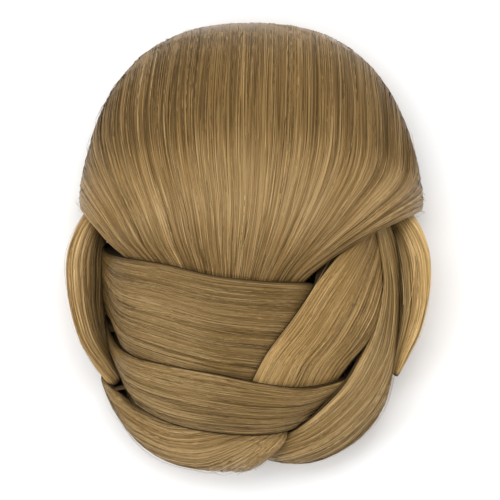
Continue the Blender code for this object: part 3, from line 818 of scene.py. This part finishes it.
def hair_material(name, tint_and_light, seed):
    """Hair seen as strands: streaks along the strand coordinates, with a fine relief."""
    n = Nodes(name)
    place = n.add("ShaderNodeUVMap", {"uv_map": "strand"}).outputs["UV"]
    parts = n.add("ShaderNodeSeparateXYZ", Vector=place)

    def streaked(streak):
        x = n.math("MULTIPLY", parts.outputs["X"], streak.across)
        y = n.math("MULTIPLY", parts.outputs["Y"], streak.along)
        shift = float(seed * SEED_STEP + streak.shift)
        vector = n.add("ShaderNodeCombineXYZ", X=x, Y=y, Z=shift).outputs[0]
        return n.noise(vector, 1.0, streak.detail, streak.roughness)

    def about_zero(value, weight):
        return n.math("MULTIPLY_ADD", value, weight, -weight / 2)

    fine = streaked(FINE)
    value = about_zero(fine, FINE.weight)
    for streak in (CLUMPED, BROAD):
        value = n.math("ADD", value, about_zero(streaked(streak), streak.weight))
    # The stored tone holds the bands' painted shade and highlight
    value = n.math("ADD", value, about_zero(n.stored("tone"), TONE_WEIGHT))
    crease = n.stored("crease")
    dark = n.mix(n.map(value, DARKEST, 0.0, 0.0, 1.0), HAIR_DARK, HAIR_MID)
    colour = n.mix(n.map(value, 0.0, LIGHTEST, 0.0, 1.0), dark, HAIR_LIGHT)
    # Each lock's tint, with its painted light and shade
    colour = n.mix(1.0, colour, tint_and_light, "MULTIPLY")
    # Painted shade: darkened towards the crease colour where the crease shading is low
    colour = n.mix(crease, CREASE_SHADE_COLOUR, colour)
    bump = n.add("ShaderNodeBump", Strength=0.35, Distance=0.00025, Height=fine)
    tangent = n.add("ShaderNodeTangent", {"direction_type": "UV_MAP", "uv_map": "strand"})
    dull = n.map(crease, 0.0, DULL_UNTIL, 1.0, LEAST_ROUGH)
    rough = n.math("MAXIMUM", n.map(fine, 0.3, 0.7, LEAST_ROUGH, MOST_ROUGH), dull)
    n.put(n.shader.inputs["Base Color"], colour)
    n.put(n.shader.inputs["Roughness"], rough)
    n.put(n.shader.inputs["Normal"], bump.outputs["Normal"])
    n.put(n.shader.inputs["Tangent"], tangent.outputs["Tangent"])
    n.shader.inputs["Anisotropic"].default_value = 0.8
    n.shader.inputs["Specular IOR Level"].default_value = 0.26
    n.shader.inputs["Specular Tint"].default_value = SPECULAR_TINT
    n.material.diffuse_color = HAIR_MID
    return n.material


NET_DARK = (0.012, 0.008, 0.006, 1)
NET_LIGHT = (0.060, 0.040, 0.026, 1)
NET_BAND = (0.16, 0.105, 0.052, 1)
NET_STAIN = (0.02, 0.013, 0.009, 1)
WEAVE_SCALE = 420.0
SEWN_BAND_SCALE = 42.0
STAIN_SCALE = 60.0
COMB_DARK = (0.030, 0.017, 0.010, 1)
COMB_LIGHT = (0.085, 0.050, 0.028, 1)
COMB_GRAIN_SCALE = 350.0
COMB_FLOW_SCALE = 60.0


def net_material():
    """The cap's cloth: a dark elastic net with sewn bands of hair."""
    n = Nodes("cap_net")
    place = n.add("ShaderNodeTexCoord").outputs["Object"]
    wave = {"wave_type": "BANDS", "bands_direction": "DIAGONAL", "wave_profile": "SIN"}
    one = n.add("ShaderNodeTexWave", wave, Vector=place, Scale=WEAVE_SCALE, Distortion=0.6)
    parts = n.add("ShaderNodeSeparateXYZ", Vector=place)
    turned = n.add(
        "ShaderNodeCombineXYZ",
        X=n.math("MULTIPLY", parts.outputs["X"], -1.0),
        Y=parts.outputs["Y"],
        Z=parts.outputs["Z"],
    ).outputs[0]
    two = n.add("ShaderNodeTexWave", wave, Vector=turned, Scale=WEAVE_SCALE, Distortion=0.6)
    weave = n.math("MULTIPLY", one.outputs["Fac"], two.outputs["Fac"])
    band = {"wave_type": "BANDS", "bands_direction": "Y", "wave_profile": "SIN"}
    bands = n.add("ShaderNodeTexWave", band, Vector=place, Scale=SEWN_BAND_SCALE, Distortion=0.4)
    rows = n.map(bands.outputs["Fac"], 0.82, 0.95, 0.0, 1.0)
    stain = n.noise(place, STAIN_SCALE, 3.0)
    cloth = n.mix(weave, NET_DARK, NET_LIGHT)
    colour = n.mix(n.math("MULTIPLY", rows, 0.75), cloth, NET_BAND)
    colour = n.mix(n.map(stain, 0.3, 0.7, 0.0, 0.35), colour, NET_STAIN)
    height = n.math("ADD", weave, n.math("MULTIPLY", rows, 1.4))
    bump = n.add("ShaderNodeBump", Strength=0.8, Distance=0.0004, Height=height)
    n.put(n.shader.inputs["Base Color"], colour)
    n.put(n.shader.inputs["Normal"], bump.outputs["Normal"])
    n.shader.inputs["Roughness"].default_value = 0.85
    n.shader.inputs["Specular IOR Level"].default_value = 0.04
    return n.material


def comb_material():
    """The comb's moulded plastic, with a faint flow grain."""
    n = Nodes("comb_plastic")
    place = n.add("ShaderNodeTexCoord").outputs["Object"]
    grain = n.noise(place, COMB_GRAIN_SCALE, 3.0)
    flow = n.noise(place, COMB_FLOW_SCALE, 2.0)
    colour = n.mix(flow, COMB_DARK, COMB_LIGHT)
    bump = n.add("ShaderNodeBump", Strength=0.15, Distance=0.0002, Height=grain)
    n.put(n.shader.inputs["Base Color"], colour)
    n.put(n.shader.inputs["Roughness"], n.map(grain, 0.3, 0.7, 0.26, 0.42))
    n.put(n.shader.inputs["Normal"], bump.outputs["Normal"])
    return n.material


# The locks

# How much lighter or darker each lock's copy of the hair is painted, with a slight change of hue:
# painted light and shade, most of all on the side loops, painted much lighter for the light that
# their steep flanks miss
LOCK_TINT_AND_PAINTED_LIGHT = {
    "crown_sweep": (0.88, 0.85, 0.83, 1),
    "upper_wrap": (0.71, 0.69, 0.66, 1),
    "diagonal_wrap": (1.18, 1.15, 1.09, 1),
    "lower_wrap": (0.82, 0.81, 0.80, 1),
    "bottom_wrap": (1.06, 1.06, 1.10, 1),
    "outer_wrap": (1.05, 1.05, 1.05, 1),
    "left_loop": (1.42, 1.42, 1.50, 1),
    "right_loop": (1.92, 2.00, 2.14, 1),
}
# How lit a lock stays in the painted shade of the crease at its edges and ends, and how far that
# painted shade reaches, as shares
CREASE_LIT = 0.03
Crease = namedtuple("Crease", "left right start end")
CREASES = {
    "crown_sweep": Crease(0.0, 0.0, 0.0, 0.06),
    "upper_wrap": Crease(0.03, 0.04, 0.20, 0.08),
    "diagonal_wrap": Crease(0.02, 0.05, 0.10, 0.10),
    "lower_wrap": Crease(0.03, 0.05, 0.20, 0.10),
    "bottom_wrap": Crease(0.08, 0.0, 0.07, 0.06),
    "outer_wrap": Crease(0.0, 0.0, 0.06, 0.03),
}
# The same painted shade for a loop's ends, and how much painted shade darkens it on the side that
# faces the wraps
LOOP_START_CREASE = 0.10
LOOP_END_CREASE = 0.04
LOOP_SIDE_CREASE = 0.2
LOOP_SIDE_FROM = 0.75


def settle(piece):
    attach(piece, "root")


def crease_shading_grid(name, rows, columns):
    """How lit a lock is painted near its edges and ends, from 0 in the crease's painted shade to 1.
    """
    crease = CREASES[name]
    across = edge_places(columns)[None, :]
    along = np.linspace(0, 1, rows)[:, None]
    lit = np.ones((rows, columns))
    for place, reach in (
        (across, crease.left),
        (1 - across, crease.right),
        (along, crease.start),
        (1 - along, crease.end),
    ):
        if reach:
            lit = lit * (CREASE_LIT + (1 - CREASE_LIT) * eased(place / reach))
    return lit


def make_locks():
    sheets, pressed = pressed_sheets()
    trees = {name: sheet_tree(points) for name, (points, _) in sheets.items()}
    loops = [loop_grid(s, COARSE_LOOP_STEPS, COARSE_LOOP_SIDES) for s in (LEFT_LOOP, RIGHT_LOOP)]
    under = [sheet_tree(cap_outside())] + [sheet_tree(points) for points in loops]
    for index, lock in enumerate(LOCKS):
        name = lock.name
        coarse, coarse_out = sheets[name]
        others = [tree for other, tree in trees.items() if other != name] + under
        depth = depths_above(coarse, coarse_out, others, edge_places(lock.steps_across + 1))
        points, outwards = lock_sheet(lock, FINER, edge_round=EDGE_ROUND)
        rows, columns = points.shape[:2]
        push = smooth_grid(finer_grid(pressed[name], rows, columns), PRESS_SMOOTHINGS)
        points = points - push[..., None] * outwards
        inner = points - finer_grid(depth, rows, columns)[..., None] * outwards
        width, length = mean_length(points, 1), mean_length(points, 0)
        along = np.linspace(0, 1, rows)
        across = edge_places(columns)
        mirrored = is_mirrored(points, outwards)
        side = -1 if mirrored else 1
        normals = side * grid_normals(points)
        relief = ridges(along, across, width, LOCK_RELIEF_SEED + index)
        fade = eased(from_edge(across) / EDGE_FADE)[None, :]
        fade = fade * eased(np.minimum(along, 1 - along) / END_FADE)[:, None]
        points = points + normals * (relief * fade)[..., None]
        normals = side * grid_normals(points)
        # Painted shade in the creases at the lock's edges and ends
        crease = crease_shading_grid(name, rows, columns)
        surface = hair_material(f"{name}_hair", LOCK_TINT_AND_PAINTED_LIGHT[name], index)
        body = body_object(f"{name}_body", points, inner, width, length, crease, surface, mirrored)
        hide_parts(name)
        settle(body)

        def columns_of(v, last=columns - 1):
            return np.arccos(np.clip(1 - 2 * v, -1, 1)) / math.pi * last

        made = f"{name}_strands"
        patch = Patch(points, normals, width, length, False)
        strands = strands_object(made, patch, crease, STRANDS[name], surface, columns_of)
        settle(strands)


def loop_grid(stations, steps, sides, relief=None):
    """A side loop's surface as a grid: along its length, and round its oval section."""
    rows = spline([list(s) for s in stations], np.linspace(0, 1, steps))
    centres = rows[:, :3]
    ways = np.gradient(centres, axis=0)
    ways /= np.linalg.norm(ways, axis=1)[:, None]
    side = np.cross(ways, (0, 0, 1))
    side /= np.linalg.norm(side, axis=1)[:, None]
    front = np.cross(side, ways)
    lean = np.radians(rows[:, 5])[:, None]
    wide_way = side * np.cos(lean) - front * np.sin(lean)
    deep_way = front * np.cos(lean) + side * np.sin(lean)
    turns = np.linspace(0, 2 * math.pi, sides + 1)
    grow = np.zeros((steps, sides + 1)) if relief is None else relief
    wide = (rows[:, 3][:, None] + grow) * np.cos(turns)[None, :]
    deep = (rows[:, 4][:, None] + grow) * np.sin(turns)[None, :]
    points = centres[:, None, :] + wide_way[:, None, :] * wide[..., None]
    return points + deep_way[:, None, :] * deep[..., None]


def make_loop(name, stations, index, inner_side):
    """A side loop with closed ends; inner_side tells which side of it faces the wraps."""
    across = np.linspace(0, 1, LOOP_SIDES + 1)
    along = np.linspace(0, 1, LOOP_STEPS)
    smooth = loop_grid(stations, LOOP_STEPS, LOOP_SIDES)
    width, length = mean_length(smooth, 1), mean_length(smooth, 0)
    relief = ridges(along, across, width, LOOP_RELIEF_SEED + index)
    seam = eased(np.minimum(across, 1 - across) / SEAM_FADE)[None, :]
    points = loop_grid(stations, LOOP_STEPS, LOOP_SIDES, relief * seam)
    points[:, -1] = points[:, 0]
    normals = grid_normals(points, closed=True)
    middle = points.mean(axis=1, keepdims=True)
    if np.mean(np.sum(normals * (points - middle), axis=-1)) < 0:
        normals = -normals
    rows, columns = points.shape[:2]
    # Painted shade at the loop's ends and on its side that faces the wraps
    ends = eased(along / LOOP_START_CREASE) * eased((1 - along) / LOOP_END_CREASE)
    inward = inner_side * np.cos(2 * math.pi * across)
    slot = 1 - LOOP_SIDE_CREASE * eased((inward - LOOP_SIDE_FROM) / (1 - LOOP_SIDE_FROM))
    crease = (CREASE_LIT + (1 - CREASE_LIT) * ends)[:, None] * slot[None, :]
    surface = hair_material(f"{name}_hair", LOCK_TINT_AND_PAINTED_LIGHT[name], LOOP_STREAK_SEED + index)
    u, v = np.meshgrid(along, across, indexing="ij")
    tube = quads(rows, columns, flip=True)
    first = np.arange(LOOP_SIDES // 2 - 1)
    disc = np.stack([first, first + 1, LOOP_SIDES - 2 - first, LOOP_SIDES - 1 - first], axis=1)
    end_disc = disc[:, ::-1]
    faces = np.concatenate([tube, disc, end_disc + (rows - 1) * columns])
    strand = np.stack([v.ravel() * width, u.ravel() * length], axis=1)
    turns = np.linspace(0, 2 * math.pi, columns)
    ring = np.stack([np.cos(turns), np.sin(turns)], axis=1) * DISC_HALF_SIZE
    bake = [on_area(TUBE_AREA, v, u)[tube.ravel()]]
    bake += [ring[disc.ravel()] + START_DISC, ring[end_disc.ravel()] + END_DISC]
    uvs = {"strand": strand[faces.ravel()], "OFBake": np.concatenate(bake)}
    values = {"tone": np.full(rows * columns, LOOP_TONE), "crease": crease}
    body = new_mesh_object(f"{name}_body", points.reshape(-1, 3), faces, uvs, values)
    body.data.materials.append(surface)
    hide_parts(name)
    settle(body)

    def columns_of(v):
        return v * (columns - 1)

    patch = Patch(points, normals, width, length, True)
    made = f"{name}_strands"
    strands = strands_object(made, patch, crease, STRANDS[name], surface, columns_of, LOOP_TWIST)
    settle(strands)


# The floor, the light and the camera, in metres

FLOOR_HALF_SIZE = 3.0
FLOOR_COLOUR = (0.93, 0.93, 0.93, 1)
WORLD_STRENGTH = 0.72
LIGHT_TARGET = (0, 0, 0.02)
Light = namedtuple("Light", "name place size energy")
LIGHTS = [
    Light("key", (-0.14, 0.38, 1.2), (1.0, 0.45), 8.2),
    Light("left_fill", (-0.9, -0.2, 0.7), (0.5, 0.9), 3.8),
    Light("right_fill", (0.9, -0.2, 0.7), (0.5, 0.9), 2.3),
]
CAMERA_PLACE = (0.0007, -0.00107, 1.2)
SENSOR_WIDTH = 36
VIEW_LEVEL = 0.015
VIEW_SPAN = 0.1785


def make_stage():
    mesh = bpy.data.meshes.new("floor")
    corners = [(-1, -1), (1, -1), (1, 1), (-1, 1)]
    places = [(x * FLOOR_HALF_SIZE, y * FLOOR_HALF_SIZE, 0) for x, y in corners]
    mesh.from_pydata(places, [], [(0, 1, 2, 3)])
    floor = bpy.data.objects.new("floor", mesh)
    bpy.context.scene.collection.objects.link(floor)
    paint = Nodes("floor_paint")
    paint.shader.inputs["Base Color"].default_value = FLOOR_COLOUR
    paint.shader.inputs["Roughness"].default_value = 0.9
    paint.shader.inputs["Specular IOR Level"].default_value = 0.1
    mesh.materials.append(paint.material)


def make_lights():
    world = bpy.data.worlds.new("studio")
    bpy.context.scene.world = world
    world.use_nodes = True
    background = world.node_tree.nodes["Background"]
    background.inputs["Color"].default_value = (1, 1, 1, 1)
    background.inputs["Strength"].default_value = WORLD_STRENGTH
    for light in LIGHTS:
        data = bpy.data.lights.new(light.name, "AREA")
        data.shape = "RECTANGLE"
        data.size, data.size_y = light.size
        data.energy = light.energy
        lamp = bpy.data.objects.new(light.name, data)
        lamp.location = light.place
        way = Vector(LIGHT_TARGET) - Vector(light.place)
        lamp.rotation_euler = way.to_track_quat("-Z", "Y").to_euler()
        bpy.context.scene.collection.objects.link(lamp)


def make_camera():
    data = bpy.data.cameras.new("camera")
    data.sensor_width = SENSOR_WIDTH
    data.lens = SENSOR_WIDTH * (CAMERA_PLACE[2] - VIEW_LEVEL) / VIEW_SPAN
    data.clip_start = 0.05
    camera = bpy.data.objects.new("camera", data)
    camera.location = CAMERA_PLACE
    bpy.context.scene.collection.objects.link(camera)
    bpy.context.scene.camera = camera


make_stage()
make_lights()
make_camera()
bpy.context.scene.view_settings.view_transform = "Standard"
make_locks()
make_loop("left_loop", LEFT_LOOP, 0, -1)
make_loop("right_loop", RIGHT_LOOP, 1, 1)
for node, look in (("base_cap", net_material()), ("comb", comb_material())):
    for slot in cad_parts[node].material_slots:
        slot.material = look
